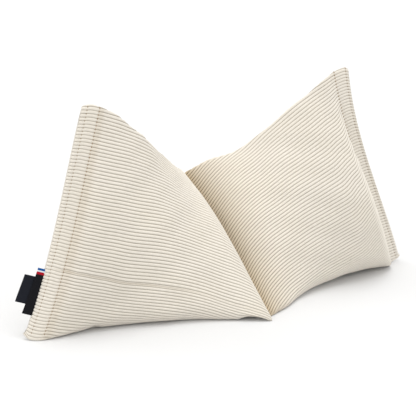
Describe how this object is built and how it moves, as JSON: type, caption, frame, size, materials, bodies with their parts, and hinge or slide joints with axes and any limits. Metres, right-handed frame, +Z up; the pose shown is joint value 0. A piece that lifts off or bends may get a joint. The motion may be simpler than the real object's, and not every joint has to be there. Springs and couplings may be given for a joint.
{
  "type": "neck pillow",
  "caption": "Ribbed cloth pillow standing on its long edge, pressed in at the middle to cradle a neck, with stitched hems and side labels.",
  "frame": {"origin": "middle of the whole footprint, on the surface that the pillow stands on", "axes": "+X along the pillow from the labelled hem to the other hem, -Y towards the front where the crease runs down to the floor, +Z up"},
  "size_m": [0.4738, 0.1882, 0.2401],
  "materials": {
    "ribbed_cloth": "matt ribbed cotton, cream ridges over darker grooves",
    "woven_label": "smooth woven black ribbon with a blue, white and red band at its top end",
    "care_label": "smooth black satin ribbon, bare"
  },
  "bodies": {
    "root": {"pillow": "ribbed_cloth", "side_label": "woven_label", "care_label": "care_label"}
  },
  "joints": []
}
